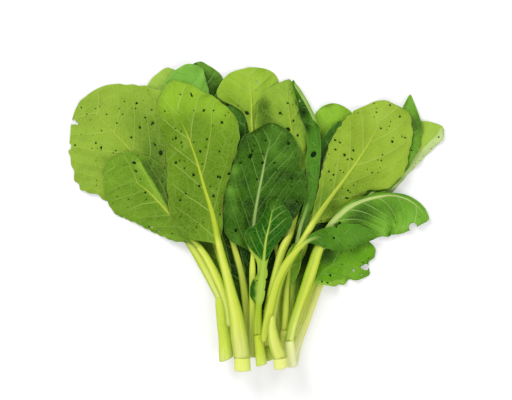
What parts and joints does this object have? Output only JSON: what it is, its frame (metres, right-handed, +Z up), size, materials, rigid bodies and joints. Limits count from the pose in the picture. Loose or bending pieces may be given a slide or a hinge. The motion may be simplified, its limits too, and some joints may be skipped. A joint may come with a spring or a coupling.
{
  "type": "choy sum",
  "caption": "Bunch of leafy choy sum lying flat: broad rounded green leaves on pale crisp stalks that fan out from short cut stems.",
  "frame": {"origin": "centre of the bounding box in plan, at the surface that the bunch lies on", "axes": "+Z up from the surface; the cut stems point towards -Y and the leaves fan out towards +Y; +X runs across the bunch"},
  "size_m": [0.34, 0.2786, 0.0413],
  "materials": {
    "leaf_underside": "matt pale green leaf underside with raised pale veins",
    "leaf_upper_side": "satin deep green upper leaf surface with fine veins",
    "stem": "satin pale yellow-green stem skin"
  },
  "bodies": {
    "root": {"leaf_far_right": "leaf_underside", "leaf_pointed": "leaf_upper_side", "leaf_back_right": "leaf_upper_side", "leaf_tucked": "leaf_upper_side", "leaf_top_dark": "leaf_upper_side", "leaf_back_left": "leaf_underside", "leaf_top_round": "leaf_upper_side", "leaf_far_left": "leaf_underside", "stem_left": "stem", "leaf_low_left": "leaf_underside", "leaf_behind_centre": "leaf_upper_side", "leaf_top_centre": "leaf_underside", "leaf_centre_right": "leaf_underside", "stem_thin": "stem", "leaf_folded": "leaf_upper_side", "leaf_small_inner": "leaf_underside", "stem_node": "stem", "leaf_centre_dark": "leaf_upper_side", "leaf_front_left": "leaf_underside", "stem_front": "stem", "leaf_front_right": "leaf_underside", "leaf_small_front": "leaf_upper_side", "stem_centre": "stem", "leaf_right_low": "leaf_upper_side", "leaf_right_curled": "leaf_upper_side", "stem_right": "stem", "leaf_right_front": "leaf_upper_side", "torn_stalk": "stem", "stem_short": "stem"}
  },
  "joints": []
}
